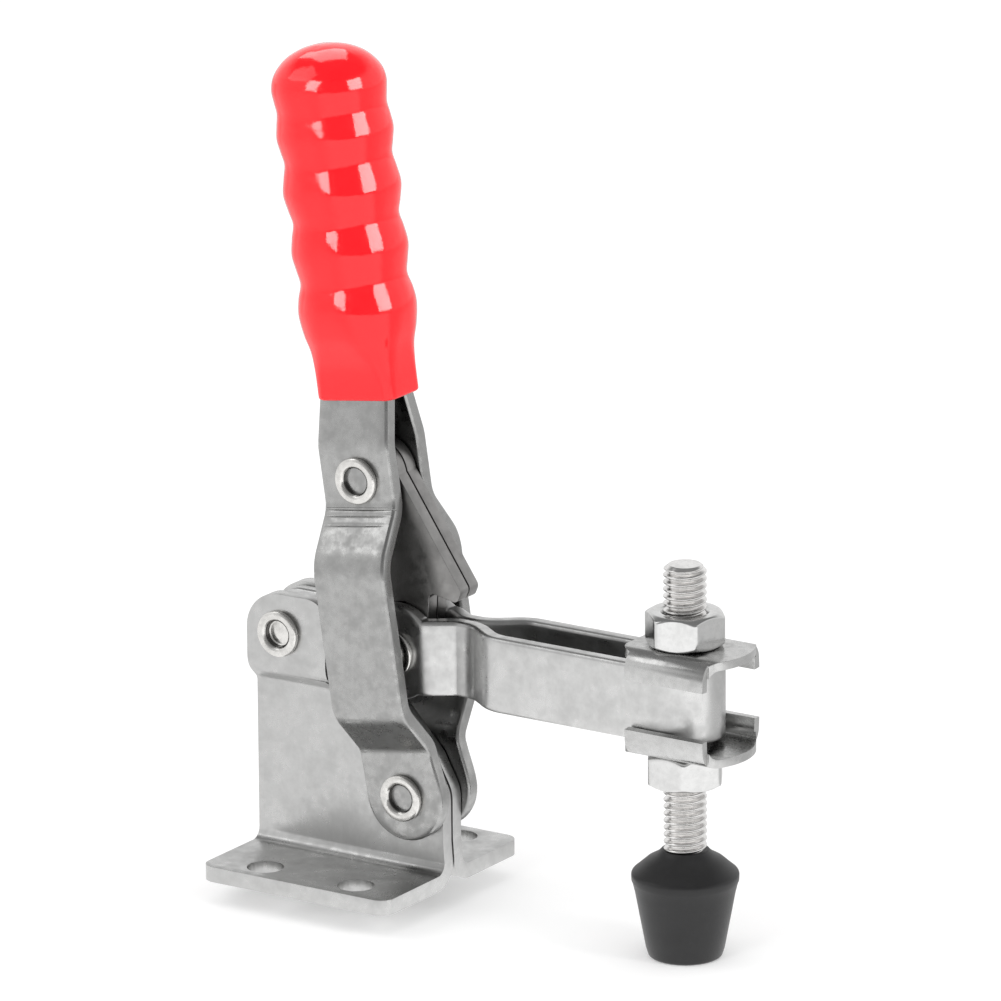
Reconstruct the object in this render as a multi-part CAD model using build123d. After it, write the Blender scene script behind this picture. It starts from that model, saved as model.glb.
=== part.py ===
from build123d import *
import os
from math import cos, radians, sin

# Horizontal toggle clamp, closed. X runs forward along the arm, Z up, the right side is -Y.
# The origin is the centre of the four base holes, on the mounting plane. Lengths are millimetres.

# Pivots in the XZ plane
ARM_PIVOT = (-10.45, 33.6)
HANDLE_PIVOT = (9.95, 13.1)
FOLD_PIVOT = (3.05, 57.8)
LINK_PIVOT = (8.65, 33.9)

# Turns of the arm and the link for one turn of the handle, and the handle's range in degrees
ARM_RATIO = 1.5
LINK_RATIO = 2.3
HANDLE_RANGE = 55.0

# Clearances
SEAM_GAP = 0.1
RUNNING = 0.03
PRESS = 0.01
END_PLAY = 0.05
SIDE_PLAY = 0.1
SLOT_PLAY = 0.15
THREAD_PLAY = 0.05

# Base plates
BASE_SHEET = 2.2
BASE_BEND = 1.6
BASE_REAR = -15.95
BASE_FRONT = 15.25
BASE_HALF_WIDTH = 17.0
BASE_CORNER = 2.2
HOLE_SPACING_X = 15.2
HOLE_EDGE = 4.1
HOLE_R = 2.6
EAR_JOGGLE_Z = (26.3, 28.6)
EAR_R = 5.6
EAR_TOP = 39.3
EAR_FRONT = -3.7
SHOULDER_Z = 27.0

# Clamping arm
ARM_SHEET = 2.3
ARM_HEIGHT = 10.8
ARM_MID_Z = 33.7
ARM_SLOT = 7.0
ARM_NOSE_X = 53.0
ARM_TAIL_R = 4.2
ARM_EYE_R = 6.8
POCKET_X = (-1.5, 1.6, 13.6, 16.9)
FORK_X = (20.4, 25.1)
WAIST_FRONT = 0.6
WAIST_Z = (29.5, 34.5)

# Link plates
LINK_SHEET = 2.2
LINK_TOP_R = 5.1

# Handle plates
HANDLE_SHEET = 2.2
HANDLE_LEAN = 8.5
HANDLE_WIDTH = 11.5
HANDLE_TAB_R = 6.3
HANDLE_SPREAD = 9.9
HANDLE_TOP = 97.0

# Rivets and bushes
RIVET_R = 2.1
BUSH_R = 2.9
LINK_RIVET_R = 1.5
LINK_BUSH_R = 2.0
RING_R = 3.3
RING_HEIGHT = 0.9
RING_DISH_R = 1.75

# Screw, nuts, washers and tip
SCREW_X = 53.3
SCREW_R = 2.98
SCREW_TOP = 52.6
SCREW_BOTTOM = 3.0
NUT_FLATS = 10.0
NUT_HEIGHT = 4.8
UPPER_NUT_TURN = 17.0
LOWER_NUT_TURN = 0.0
WASHER_SHEET = 1.2
WASHER_LIFT = 0.9
WASHER_DROP = 3.4
WASHER_SPAN = 12.5
WASHER_R = 9.7
WASHER_HOLE_R = 3.3
TIP_TOP = 12.0
TIP_RIM_Z = 8.9
TIP_RIM_R = 7.45
TIP_BOTTOM = -3.3

# Grip
GRIP_LENGTH = 60.4
GRIP_DEPTH = 14.8
GRIP_LEAN = 8.0
GRIP_FOOT = (3.4, 57.8)


def flat(*points, radius=0.0):
    """Closed face in the drawing plane, with its corners rounded."""
    return make_face(FilletPolyline(*points, radius=radius, close=True))


def prism(face, half=30.0):
    """Prism of an outline drawn in X and Z, through both sides."""
    return extrude(Plane.XZ * face, amount=half, both=True)


def disc(centre, radius):
    return Pos(*centre) * Circle(radius)


def pin(centre, radius, half):
    """Round bar across the clamp, centred on its middle plane."""
    return prism(disc(centre, radius), half)


def sheet_strip(plane, points, radius, thickness, low, high):
    """Sheet along a bent centre line, as wide as from low to high along the plane's normal."""
    band = trace(FilletPolyline(*points, radius=radius), line_width=thickness)
    return extrude(plane.offset(low) * band, amount=high - low)


def mirrored(solid):
    return mirror(solid, about=Plane.XZ)


# Faces of the sheets, as distances from the middle plane
base_mid = SEAM_GAP / 2 + BASE_SHEET / 2
arm_closed_mid = SEAM_GAP / 2 + ARM_SHEET / 2
arm_outer = ARM_SLOT / 2 + ARM_SHEET
arm_fork_mid = ARM_SLOT / 2 + ARM_SHEET / 2
link_outer = SEAM_GAP / 2 + LINK_SHEET
pocket_inner = link_outer + SIDE_PLAY
pocket_outer = pocket_inner + ARM_SHEET
ear_inner = SEAM_GAP / 2 + ARM_SHEET + SIDE_PLAY
ear_outer = ear_inner + BASE_SHEET
tab_inner = SEAM_GAP / 2 + BASE_SHEET + 2 * SIDE_PLAY
tab_outer = tab_inner + HANDLE_SHEET
cheek_inner = link_outer + 3.5 * SIDE_PLAY
cheek_outer = cheek_inner + HANDLE_SHEET
arm_bottom = ARM_MID_Z - ARM_HEIGHT / 2
arm_top = ARM_MID_Z + ARM_HEIGHT / 2


def turned(point, centre, degrees):
    """Point turned in X and Z about a centre, anticlockwise as seen from the right side."""
    c, s = cos(radians(degrees)), sin(radians(degrees))
    dx, dz = point[0] - centre[0], point[1] - centre[1]
    return (centre[0] + c * dx - s * dz, centre[1] + s * dx + c * dz)


def base_plate():
    """Left base plate: foot, web and the spread ear of the arm pivot."""
    ear_mid = ear_inner + BASE_SHEET / 2
    line = [(BASE_HALF_WIDTH, BASE_SHEET / 2), (base_mid, BASE_SHEET / 2), (base_mid, EAR_JOGGLE_Z[0]),
            (ear_mid, EAR_JOGGLE_Z[1]), (ear_mid, EAR_TOP + 5)]
    bend = BASE_BEND + BASE_SHEET / 2
    sheet = sheet_strip(Plane.YZ, line, (bend, 2.5, 2.5), BASE_SHEET, BASE_REAR, BASE_FRONT)
    front = BASE_FRONT - 0.2
    web = flat((BASE_REAR, -1), (BASE_FRONT, -1), (BASE_FRONT, BASE_SHEET + BASE_BEND), (front, 6.5),
               (front, 13.5), (12.4, 18.4), (4.85, SHOULDER_Z - 0.3), (EAR_FRONT, SHOULDER_Z),
               (EAR_FRONT, EAR_TOP), (ARM_PIVOT[0], ARM_PIVOT[1] + EAR_R), (BASE_REAR, ARM_PIVOT[1] + EAR_R),
               radius=(0, 0, 0.8, 1.5, 5, 3, 2, 1.2, 2.5, 4, EAR_R - 0.2))
    foot = extrude(Pos((BASE_REAR + BASE_FRONT) / 2, 0, -1)
                   * RectangleRounded(BASE_FRONT - BASE_REAR, 2 * BASE_HALF_WIDTH, BASE_CORNER), amount=60)
    plate = sheet & prism(web) & foot
    for side in (-1, 1):
        plate -= Pos(side * HOLE_SPACING_X / 2, BASE_HALF_WIDTH - HOLE_EDGE, 0) * Cylinder(HOLE_R, 10)
    plate -= pin(ARM_PIVOT, RIVET_R + PRESS, 20)
    return plate - pin(HANDLE_PIVOT, BUSH_R + PRESS, 20)


def clamping_arm():
    """One strip: tail on the rear pivot, pocket round the link, closed neck, slot and round nose."""
    pocket_mid = pocket_inner + ARM_SHEET / 2
    line = [(ARM_PIVOT[0] - ARM_TAIL_R - 1, arm_closed_mid), (POCKET_X[0], arm_closed_mid),
            (POCKET_X[1], pocket_mid), (POCKET_X[2], pocket_mid), (POCKET_X[3], arm_closed_mid),
            (FORK_X[0], arm_closed_mid), (FORK_X[1], arm_fork_mid), (ARM_NOSE_X, arm_fork_mid)]
    wall = sheet_strip(Plane.XY, line, (2, 2, 2, 2, 3.5, 3.5), ARM_SHEET, arm_bottom - 5, arm_top + 5)
    ring = Circle(arm_outer) - Circle(ARM_SLOT / 2) - Pos(-arm_outer, 0) * Rectangle(2 * arm_outer, 2 * arm_outer)
    nose = extrude(Pos(ARM_NOSE_X, 0, arm_bottom - 5) * ring, amount=ARM_HEIGHT + 10)
    low, high = WAIST_Z
    waist = flat((ARM_PIVOT[0], low), (WAIST_FRONT, low), (LINK_PIVOT[0], arm_bottom), (LINK_PIVOT[0], arm_top),
                 (WAIST_FRONT + 1.8, high), (ARM_PIVOT[0], high), radius=(0, 1, 0, 0, 2, 0))
    strip = Pos((LINK_PIVOT[0] + 70) / 2, ARM_MID_Z) * Rectangle(70 - LINK_PIVOT[0], ARM_HEIGHT)
    outline = strip + waist + disc(ARM_PIVOT, ARM_TAIL_R) + disc(LINK_PIVOT, ARM_EYE_R)
    arm = (wall + mirrored(wall) + nose) & prism(outline)
    arm -= pin(ARM_PIVOT, BUSH_R + RUNNING, 20)
    return arm - pin(LINK_PIVOT, LINK_RIVET_R + PRESS, 20)


def open_pivot_path(steps=44):
    """Centres of the arm's link rivet in the link at rest, while the clamp opens."""
    points = []
    for step in range(steps + 1):
        turn = HANDLE_RANGE * step / steps
        rivet = turned(LINK_PIVOT, ARM_PIVOT, ARM_RATIO * turn)
        fold = turned(FOLD_PIVOT, HANDLE_PIVOT, turn)
        moved = (rivet[0] - fold[0] + FOLD_PIVOT[0], rivet[1] - fold[1] + FOLD_PIVOT[1])
        points.append(turned(moved, FOLD_PIVOT, -LINK_RATIO * turn))
    return points


def link_plate():
    """Left link plate: fold eye, stop toe and the long slot round the arm's rivet."""
    px, pz = LINK_PIVOT
    fx, fz = FOLD_PIVOT
    body = flat((fx - 4.9, fz), (px - 4.8, pz + 9.2), (px - 3.9, pz + 6.4), (px - 3.9, pz + 2), (px - 2.9, pz - 1),
                (px + 2.8, pz - 3), (px + 3.9, pz + 2), (px + 4.3, pz + 6.6), (px + 4.4, pz + 8.75),
                (px + 8.95, pz + 7.85), (px + 9.7, pz + 9.6), (fx + 5.0, fz + 1.0), (fx, fz + 4.9),
                radius=(1, 2, 1.5, 1, 0.5, 0.8, 1, 1, 0.8, 0.8, 1, 3, 3))
    outline = body + disc(FOLD_PIVOT, LINK_TOP_R)
    plate = extrude(Plane.XZ.offset(-link_outer) * outline, amount=LINK_SHEET)
    plate -= pin(FOLD_PIVOT, BUSH_R + RUNNING, 20)
    for centre in open_pivot_path():
        plate -= pin(centre, LINK_BUSH_R + SLOT_PLAY, 20)
    return plate


def handle_frame():
    """Frame of the handle plates: origin on the handle pivot, Z along the plates."""
    return Pos(HANDLE_PIVOT[0], 0, HANDLE_PIVOT[1]) * Rot(0, -HANDLE_LEAN, 0)


def handle_plate():
    """Left handle plate: lower tab, spread middle, fold cheek and the tang in the grip."""
    half = HANDLE_SHEET / 2
    tang_mid = SEAM_GAP / 2 + half
    line = [(tab_inner + half, -12), (tab_inner + half, 6.9), (HANDLE_SPREAD - half, 13.1),
            (HANDLE_SPREAD - half, 34.4), (cheek_inner + half, 40.8), (cheek_inner + half, 50.0),
            (tang_mid, 60.5), (tang_mid, HANDLE_TOP)]
    sheet = sheet_strip(Plane.YZ, line, (3, 3, 3, 3, 5, 5), HANDLE_SHEET, -10, 10)
    strip = Pos(-0.2, 47.5) * RectangleRounded(HANDLE_WIDTH, 99, 2.5)
    outline = strip + disc((0.2, 0), HANDLE_TAB_R)
    plate = handle_frame() * (sheet & prism(outline))
    plate -= pin(HANDLE_PIVOT, BUSH_R + RUNNING, 20)
    return plate - pin(FOLD_PIVOT, RIVET_R + PRESS, 20)


def rivet(centre, radius, seat):
    """Hollow rivet with a rolled ring outside each seat face."""
    top = seat + RING_HEIGHT
    crest = RING_DISH_R + (RING_R - RING_DISH_R) * 0.45
    edge = Polyline((0, 0), (radius, 0), (radius, seat), (RING_R - 0.1, seat), (RING_R, seat + 0.15))
    roll = ThreePointArc((RING_R, seat + 0.15), (RING_R - 0.28, top - 0.2), (crest, top))
    dish = ThreePointArc((crest, top), (RING_DISH_R + 0.25, top - 0.2), (RING_DISH_R, seat + 0.2))
    floor = Polyline((RING_DISH_R, seat + 0.2), (0, seat + 0.2), (0, 0))
    half = revolve(make_face([edge, roll, dish, floor]), Axis.Y)
    return Pos(centre[0], 0, centre[1]) * (half + mirrored(half))


def bush(centre, bore, radius, half):
    return pin(centre, radius, half) - pin(centre, bore + PRESS, half + 1)


def grip_section(rise, wide, deep, roundness):
    """Section of the grip, by its shares of the length, the plates' half width and the half depth."""
    half_x, half_y = wide * HANDLE_WIDTH / 2, deep * GRIP_DEPTH / 2
    corner = roundness * min(half_x, half_y)
    return Pos(0, 0, rise * GRIP_LENGTH) * RectangleRounded(2 * half_x, 2 * half_y, corner)


def grip():
    """Waved grip on the tang: flat-sided mouth, near-round body, domed top."""
    rows = [(0.1854, 1.087, 0.52, 0.39), (0.2152, 1.096, 0.534, 0.43), (0.2566, 1.113, 0.595, 0.55),
            (0.298, 1.183, 0.743, 0.73), (0.3394, 1.322, 0.905, 0.85), (0.3858, 1.426, 1, 0.96),
            (0.4222, 1.383, 0.966, 0.97), (0.4553, 1.304, 0.919, 0.96), (0.4884, 1.357, 0.953, 0.96),
            (0.5248, 1.4, 0.986, 0.96), (0.5629, 1.365, 0.959, 0.96), (0.596, 1.304, 0.919, 0.96),
            (0.6291, 1.365, 0.959, 0.96), (0.6656, 1.417, 0.993, 0.95), (0.702, 1.383, 0.966, 0.97),
            (0.7351, 1.33, 0.932, 0.96), (0.7649, 1.374, 0.959, 0.96), (0.7947, 1.4, 0.986, 0.96),
            (0.8245, 1.383, 0.973, 0.96), (0.8526, 1.357, 0.953, 0.96), (0.8808, 1.374, 0.966, 0.97),
            (0.9073, 1.383, 0.973, 0.96), (0.9338, 1.313, 0.926, 0.96), (0.957, 1.148, 0.797, 0.95),
            (0.9768, 0.904, 0.622, 0.93), (0.9917, 0.574, 0.392, 0.93), (1, 0.243, 0.162, 0.92)]
    shell = loft([grip_section(*row) for row in rows])
    frame = Pos(GRIP_FOOT[0], 0, GRIP_FOOT[1]) * Rot(0, -GRIP_LEAN, 0)
    tang = SEAM_GAP / 2 + HANDLE_SHEET + SIDE_PLAY
    top = HANDLE_TOP + SIDE_PLAY
    hollow = flat((0.8 - cheek_outer, 50), (cheek_outer - 0.8, 50), (cheek_outer - 1.2, 55), (tang + 0.25, 59.5),
                  (tang, 62), (tang, top), (-tang, top), (-tang, 62), (-tang - 0.25, 59.5), (1.2 - cheek_outer, 55),
                  radius=0)
    width = HANDLE_WIDTH / 2 + SIDE_PLAY
    pocket = extrude(Plane.YZ.offset(-0.2 - width) * hollow, amount=2 * width)
    return frame * shell - handle_frame() * pocket


def washer(middle_z, fold):
    """Saddle washer: disc on the screw's axis, its flanges bent towards fold, 1 for up and -1 for down."""
    reach = arm_outer + 1.5 * SIDE_PLAY + WASHER_SHEET / 2
    line = [(-reach - 0.2, middle_z + fold * WASHER_DROP), (-reach, middle_z), (reach, middle_z),
            (reach + 0.2, middle_z + fold * WASHER_DROP)]
    bend = 1.4 + WASHER_SHEET / 2
    sheet = sheet_strip(Plane.YZ, line, (bend, bend), WASHER_SHEET, SCREW_X - 12, SCREW_X + 12)
    top = Circle(WASHER_R) & Pos(1.7, 0) * RectangleRounded(17.4, 2 * reach - 1.1, 2.5)
    plan = Pos(SCREW_X, 0) * (top + Pos(1.1, 0) * RectangleRounded(WASHER_SPAN, 2 * reach + 8, 0.8))
    body = sheet & extrude(Pos(0, 0, middle_z - 8) * plan, amount=16)
    return body - Pos(SCREW_X, 0, middle_z) * Cylinder(WASHER_HOLE_R, 20)


def nut(low_z, angle):
    """Hexagon nut with both rims chamfered to its flats."""
    hexagon = RegularPolygon(NUT_FLATS / 2, 6, major_radius=False)
    corner = NUT_FLATS / 3 ** 0.5
    body = Cylinder(corner, NUT_HEIGHT)
    body = chamfer(body.edges().filter_by(GeomType.CIRCLE), length=0.45, length2=0.85)
    body &= extrude(hexagon, amount=NUT_HEIGHT / 2, both=True)
    body -= Cylinder(SCREW_R + THREAD_PLAY, NUT_HEIGHT + 2)
    return Pos(SCREW_X, 0, low_z + NUT_HEIGHT / 2) * Rot(0, 0, angle) * body


def spindle():
    """Clamping screw with chamfered ends."""
    rod = Cylinder(SCREW_R, SCREW_TOP - SCREW_BOTTOM)
    rod = chamfer(rod.edges().filter_by(GeomType.CIRCLE), 0.6)
    return Pos(SCREW_X, 0, (SCREW_TOP + SCREW_BOTTOM) / 2) * rod


def rubber_tip():
    """Rubber tip: coned shoulder, rim and tapered foot, on the screw's end."""
    bore = SCREW_R + PRESS
    face = flat((0, TIP_BOTTOM), (5.2, TIP_BOTTOM), (TIP_RIM_R - 0.15, TIP_RIM_Z - 1.4), (TIP_RIM_R, TIP_RIM_Z),
                (3.6, TIP_TOP), (0, TIP_TOP), radius=(0, 0.6, 0.5, 0.5, 0.3, 0))
    body = revolve(Plane.XZ * face, Axis.Z)
    depth = TIP_TOP - SCREW_BOTTOM + END_PLAY
    body -= Pos(0, 0, TIP_TOP - depth / 2) * Cylinder(bore, depth)
    return Pos(SCREW_X, 0, 0) * body


upper_plate_z = arm_top + WASHER_LIFT + WASHER_SHEET / 2
lower_plate_z = arm_bottom - WASHER_LIFT - WASHER_SHEET / 2
nut_seat = WASHER_SHEET / 2 + RUNNING

left_base = base_plate()
left_link = link_plate()
left_handle = handle_plate()
parts = {
    "base_plate_left": left_base,
    "base_plate_right": mirrored(left_base),
    "clamping_arm": clamping_arm(),
    "link_plate_left": left_link,
    "link_plate_right": mirrored(left_link),
    "handle_plate_left": left_handle,
    "handle_plate_right": mirrored(left_handle),
    "arm_pivot_rivet": rivet(ARM_PIVOT, RIVET_R, ear_outer),
    "arm_pivot_bush": bush(ARM_PIVOT, RIVET_R, BUSH_R, ear_inner),
    "handle_pivot_rivet": rivet(HANDLE_PIVOT, RIVET_R, tab_outer + END_PLAY),
    "handle_pivot_bush": bush(HANDLE_PIVOT, RIVET_R, BUSH_R, tab_outer + END_PLAY),
    "link_handle_rivet": rivet(FOLD_PIVOT, RIVET_R, cheek_outer),
    "link_handle_bush": bush(FOLD_PIVOT, RIVET_R, BUSH_R, cheek_inner),
    "link_arm_rivet": rivet(LINK_PIVOT, LINK_RIVET_R, pocket_outer),
    "link_arm_bush": bush(LINK_PIVOT, LINK_RIVET_R, LINK_BUSH_R, pocket_inner),
    "grip": grip(),
    "upper_flanged_washer": washer(upper_plate_z, -1),
    "lower_flanged_washer": washer(lower_plate_z, 1),
    "upper_nut": nut(upper_plate_z + nut_seat, UPPER_NUT_TURN),
    "lower_nut": nut(lower_plate_z - nut_seat - NUT_HEIGHT, LOWER_NUT_TURN),
    "spindle": spindle(),
    "rubber_tip": rubber_tip(),
}

os.makedirs("parts", exist_ok=True)
for name, solid in parts.items():
    solid.label = name
    export_step(solid, f"parts/{name}.step")
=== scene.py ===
import logging
import math
from dataclasses import dataclass, field
from enum import Enum
from typing import Callable, Iterable, Optional, Sequence

import bmesh
import bpy
from mathutils import Matrix, Vector


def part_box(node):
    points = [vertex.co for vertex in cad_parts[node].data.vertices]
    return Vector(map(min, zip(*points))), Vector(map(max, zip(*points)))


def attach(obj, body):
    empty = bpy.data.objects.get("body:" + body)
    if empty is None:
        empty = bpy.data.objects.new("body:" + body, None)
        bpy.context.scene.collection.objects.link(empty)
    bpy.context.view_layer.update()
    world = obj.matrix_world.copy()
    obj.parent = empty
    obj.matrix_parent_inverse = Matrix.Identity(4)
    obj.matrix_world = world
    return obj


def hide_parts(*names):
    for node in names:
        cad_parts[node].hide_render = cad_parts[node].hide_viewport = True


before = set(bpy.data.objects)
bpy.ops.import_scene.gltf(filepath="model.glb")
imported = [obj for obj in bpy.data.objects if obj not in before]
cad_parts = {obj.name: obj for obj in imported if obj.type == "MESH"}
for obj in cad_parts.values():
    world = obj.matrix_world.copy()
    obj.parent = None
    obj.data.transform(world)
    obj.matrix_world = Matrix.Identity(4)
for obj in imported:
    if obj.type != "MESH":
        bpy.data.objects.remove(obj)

LOG = logging.getLogger("toggle_clamp")
MM = 0.001
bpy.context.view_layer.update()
WHITE = (1.0, 1.0, 1.0, 1.0)

Point = tuple[float, float, float]
Row = tuple[float, ...]
Colour = tuple[float, float, float]


class Body(Enum):
    """Moving bodies of the clamp."""

    BASE = "base"
    HANDLE = "handle"
    LINK = "link"
    ARM = "arm"
    CARRIAGE = "carriage"
    SPINDLE = "spindle"
    UPPER_NUT = "upper_nut"
    LOWER_NUT = "lower_nut"


class LampRays(Enum):
    """Kinds of rays that a lamp lights."""

    ALL = "all"
    SOFT = "soft"
    MIRRORED = "mirrored"


# Shader building


class Nodes:
    """Small helper that adds and links nodes in one node tree."""

    def __init__(self, tree: bpy.types.NodeTree) -> None:
        """Keep the tree.

        Args:
            tree: shader or geometry node tree to build in.
        """
        self.tree = tree

    def add(self, kind: str, values: Optional[dict] = None, **settings: object) -> bpy.types.Node:
        """Add a node.

        Args:
            kind: Blender's node type.
            values: inputs by name or index, each a value or an output socket to link.
            **settings: node properties.

        Returns:
            The new node.
        """
        node = self.tree.nodes.new(kind)
        for name, value in settings.items():
            setattr(node, name, value)
        for key, value in (values or {}).items():
            socket = node.inputs[key]
            if isinstance(value, bpy.types.NodeSocket):
                self.tree.links.new(value, socket)
            else:
                socket.default_value = value
        return node

    def math(self, operation: str, a: object, b: object = 0.0, c: object = 0.0) -> bpy.types.NodeSocket:
        """Add a Math node.

        Args:
            operation: Math operation.
            a: first value or socket.
            b: second value or socket.
            c: third value or socket.

        Returns:
            The result's socket.
        """
        return self.add("ShaderNodeMath", {0: a, 1: b, 2: c}, operation=operation).outputs[0]

    def remap(self, value: object, low: float, high: float, to_low: object,
              to_high: float) -> bpy.types.NodeSocket:
        """Add a clamped smooth Map Range.

        Args:
            value: value or socket.
            low: start of the source range.
            high: end of the source range.
            to_low: result at low.
            to_high: result at high.

        Returns:
            The result's socket.
        """
        node = self.add("ShaderNodeMapRange", {0: value, 1: low, 2: high, 3: to_low, 4: to_high})
        node.interpolation_type = "SMOOTHSTEP"
        return node.outputs[0]

    def noise(self, vector: object, scale: float, detail: float = 3.0,
              rough: float = 0.55) -> bpy.types.NodeSocket:
        """Add a Noise Texture.

        Args:
            vector: coordinates.
            scale: features per metre.
            detail: octaves.
            rough: weight of the fine octaves.

        Returns:
            The noise value's socket.
        """
        return self.add("ShaderNodeTexNoise", {"Vector": vector, "Scale": scale, "Detail": detail,
                                               "Roughness": rough}).outputs["Fac"]

    def link(self, a: bpy.types.NodeSocket, b: bpy.types.NodeSocket) -> None:
        """Link two sockets."""
        self.tree.links.new(a, b)


def fresh_material(name: str) -> tuple[bpy.types.Material, Nodes]:
    """Make an empty node material.

    Args:
        name: name of the material.

    Returns:
        The material and the helper on its tree.
    """
    material = bpy.data.materials.new(name)
    material.use_nodes = True
    material.node_tree.nodes.clear()
    return material, Nodes(material.node_tree)


def shader_group(name: str, inputs: Sequence[tuple[str, float]], outputs: Sequence[str],
                 build: Callable[[Nodes, dict, dict], None]) -> bpy.types.NodeTree:
    """Make a shader node group with named float inputs and outputs.

    Args:
        name: name of the group.
        inputs: names and defaults of the inputs.
        outputs: names of the outputs.
        build: function that fills the group from its input sockets to its output sockets.

    Returns:
        The group's tree.
    """
    tree = bpy.data.node_groups.new(name, "ShaderNodeTree")
    for label, default in inputs:
        socket = tree.interface.new_socket(label, in_out="INPUT", socket_type="NodeSocketFloat")
        socket.default_value = default
    for label in outputs:
        tree.interface.new_socket(label, in_out="OUTPUT", socket_type="NodeSocketFloat")
    start = tree.nodes.new("NodeGroupInput")
    end = tree.nodes.new("NodeGroupOutput")
    build(Nodes(tree), {s.name: s for s in start.outputs if s.name},
          {s.name: s for s in end.inputs if s.name})
    return tree


def build_rolled_sheet(nodes: Nodes, ins: dict, outs: dict) -> None:
    """Fill the group of rolled and pressed sheet: cloudy mottling, fine grain and small scratches.

    Args:
        nodes: helper on the group's tree.
        ins: input sockets by name.
        outs: output sockets by name.
    """
    where = nodes.add("ShaderNodeTexCoord").outputs["Object"]
    size = nodes.add("ShaderNodeVectorMath", {0: where}, operation="SCALE")
    nodes.link(ins["Size"], size.inputs["Scale"])
    spot = size.outputs[0]
    cloud = nodes.noise(spot, 170.0, 4.0, 0.6)
    patch = nodes.noise(spot, 620.0, 3.0, 0.62)
    speck = nodes.noise(spot, 2600.0, 2.0, 0.6)
    stretched = nodes.add("ShaderNodeMapping", {0: spot, 3: (1.0, 1.0, 0.06)}).outputs[0]
    grain = nodes.noise(stretched, 5200.0, 2.0, 0.6)
    soft = nodes.math("ADD", nodes.math("MULTIPLY", cloud, 0.5), nodes.math("MULTIPLY", patch, 0.5))
    tone = nodes.remap(soft, 0.32, 0.68, -1.0, 1.0)
    fine = nodes.math("SUBTRACT", nodes.math("ADD", nodes.math("MULTIPLY", speck, 0.5),
                                             nodes.math("MULTIPLY", grain, 0.5)), 0.5)
    nodes.link(nodes.math("MULTIPLY", tone, ins["Cloud"]), outs["Tone"])
    nodes.link(nodes.math("MULTIPLY", fine, ins["Grain"]), outs["Fine"])
    height = nodes.math("ADD", nodes.math("MULTIPLY", nodes.math("MULTIPLY", patch, 0.7), ins["Cloud"]),
                        nodes.math("MULTIPLY", fine, ins["Grain"]))
    nodes.link(height, outs["Height"])


ROLLED_SHEET = shader_group("rolled_sheet", (("Size", 1.0), ("Cloud", 0.1), ("Grain", 0.1)),
                            ("Tone", "Fine", "Height"), build_rolled_sheet)


def build_edge_light_and_shade(nodes: Nodes, ins: dict, outs: dict) -> None:
    """Fill the group of painted highlight on sharp edges and painted shade in hollows, both found by
    pointiness.

    Args:
        nodes: helper on the group's tree.
        ins: input sockets by name.
        outs: output sockets by name.
    """
    point = nodes.add("ShaderNodeNewGeometry").outputs["Pointiness"]
    # painted highlight on sharp edges and painted shade in hollows, from pointiness
    edge = nodes.remap(point, 0.525, 0.58, 0.0, 1.0)
    deep = nodes.remap(point, 0.42, 0.495, 1.0, 0.0)
    nodes.link(nodes.math("MULTIPLY", edge, ins["Rub"]), outs["Edge"])
    nodes.link(nodes.math("MULTIPLY", deep, ins["Soil"]), outs["Hollow"])


EDGE_LIGHT_AND_SHADE = shader_group("edge_rub", (("Rub", 1.0), ("Soil", 1.0)), ("Edge", "Hollow"), build_edge_light_and_shade)


@dataclass(frozen=True)
class SteelFinish:
    """Bare steel with a rolled, pressed or turned surface."""

    name: str
    colour: Colour
    roughness: float
    cloud: float = 0.08
    grain: float = 0.10
    size: float = 1.0
    bump: float = 0.04
    # strength of the painted edge highlight and painted hollow shade
    highlight_and_shade: float = 0.0
    slot: str = ""

    def build(self) -> bpy.types.Material:
        """Make the material.

        Returns:
            The new material.
        """
        material, nodes = fresh_material(self.name)
        sheet = nodes.add("ShaderNodeGroup", node_tree=ROLLED_SHEET)
        sheet.inputs["Size"].default_value = self.size
        sheet.inputs["Cloud"].default_value = self.cloud
        sheet.inputs["Grain"].default_value = self.grain
        highlight_and_shade = nodes.add("ShaderNodeGroup", node_tree=EDGE_LIGHT_AND_SHADE)
        tone = nodes.math("ADD", nodes.math("ADD", sheet.outputs["Tone"], sheet.outputs["Fine"]), 1.0)
        # painted highlight brightens sharp edges, painted shade darkens hollows
        tone = nodes.math("ADD", tone, nodes.math("MULTIPLY", highlight_and_shade.outputs["Edge"], 0.35 * self.highlight_and_shade))
        tone = nodes.math("SUBTRACT", tone, nodes.math("MULTIPLY", highlight_and_shade.outputs["Hollow"], 0.25 * self.highlight_and_shade))
        # painted shade: the value stored on the mesh darkens the colour in recesses and on inner faces
        soil = nodes.add("ShaderNodeAttribute", attribute_name="soil").outputs["Fac"]
        tone = nodes.math("MULTIPLY", tone, nodes.math("SUBTRACT", 1.0, soil))
        colour = nodes.add("ShaderNodeVectorMath", {0: self.colour}, operation="SCALE")
        nodes.link(tone, colour.inputs["Scale"])
        rough = nodes.math("MULTIPLY_ADD", sheet.outputs["Tone"], -1.1, self.roughness)
        rough = nodes.math("MULTIPLY_ADD", sheet.outputs["Fine"], 0.5, rough)
        rough = nodes.math("MULTIPLY_ADD", highlight_and_shade.outputs["Edge"], -0.06 * self.highlight_and_shade, rough)
        bump = nodes.add("ShaderNodeBump", {"Strength": 1.0, "Distance": self.bump * MM,
                                            "Height": sheet.outputs["Height"]})
        steel = nodes.add("ShaderNodeBsdfPrincipled", {"Base Color": colour.outputs[0], "Metallic": 1.0,
                                                       "Roughness": rough, "Normal": bump.outputs[0]})
        nodes.add("ShaderNodeOutputMaterial", {0: steel.outputs[0]})
        return material


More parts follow.
